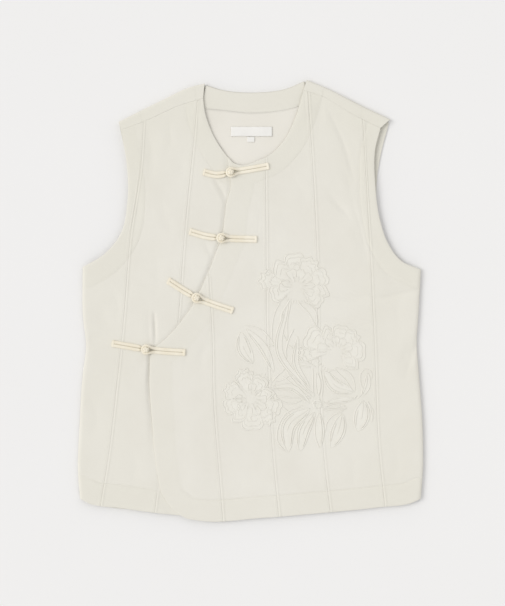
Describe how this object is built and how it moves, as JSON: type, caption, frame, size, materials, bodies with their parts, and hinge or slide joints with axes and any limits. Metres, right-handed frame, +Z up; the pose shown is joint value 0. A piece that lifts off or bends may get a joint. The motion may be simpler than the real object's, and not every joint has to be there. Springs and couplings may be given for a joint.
{
  "type": "embroidered waistcoat",
  "caption": "Cream canvas waistcoat laid flat, with a wrapped asymmetric front, corded frog fastenings and raised corded flowers on the overlapping front.",
  "frame": {"origin": "under the middle of the garment's outline, on the surface that it lies on", "axes": "+Y runs from the hem to the neck, +X towards the wearer's left, which carries the embroidery, and +Z up, from the back to the front"},
  "size_m": [0.4602, 0.588, 0.018],
  "materials": {
    "cloth": "matt cream cotton canvas",
    "lining": "smooth pale lining",
    "label": "woven white tape, blank",
    "cord": "satin ivory cord",
    "thread": "cream embroidery cord"
  },
  "bodies": {
    "root": {"back_centre": "cloth", "back_left_mid": "cloth", "back_left_side": "cloth", "back_right_mid": "cloth", "back_right_side": "cloth", "back_neck_facing": "cloth", "back_lining": "lining", "neck_label": "label", "size_tab": "label", "front_left_side": "cloth", "front_left_mid": "cloth", "front_left_inner": "cloth", "front_left_centre": "cloth", "front_left_edge": "cloth", "front_right_under": "cloth", "front_right_mid": "cloth", "front_right_side": "cloth", "frog_1_knot_arm": "cord", "frog_1_loop_arm": "cord", "frog_2_knot_arm": "cord", "frog_2_loop_arm": "cord", "frog_3_knot_arm": "cord", "frog_3_loop_arm": "cord", "frog_4_knot_arm": "cord", "frog_4_loop_arm": "cord", "blossom_top": "thread", "blossom_side": "thread", "blossom_low": "thread", "stem_joint": "thread", "leaf_tall": "thread", "leaf_inner": "thread", "leaf_long": "thread", "leaf_upright": "thread", "leaf_flat": "thread", "leaf_low": "thread", "leaf_hanging": "thread", "leaf_curled": "thread", "bud_small": "thread", "bud_long": "thread", "bud_open": "thread", "stem_side": "thread", "stem_up": "thread", "sepal": "thread"}
  },
  "joints": []
}
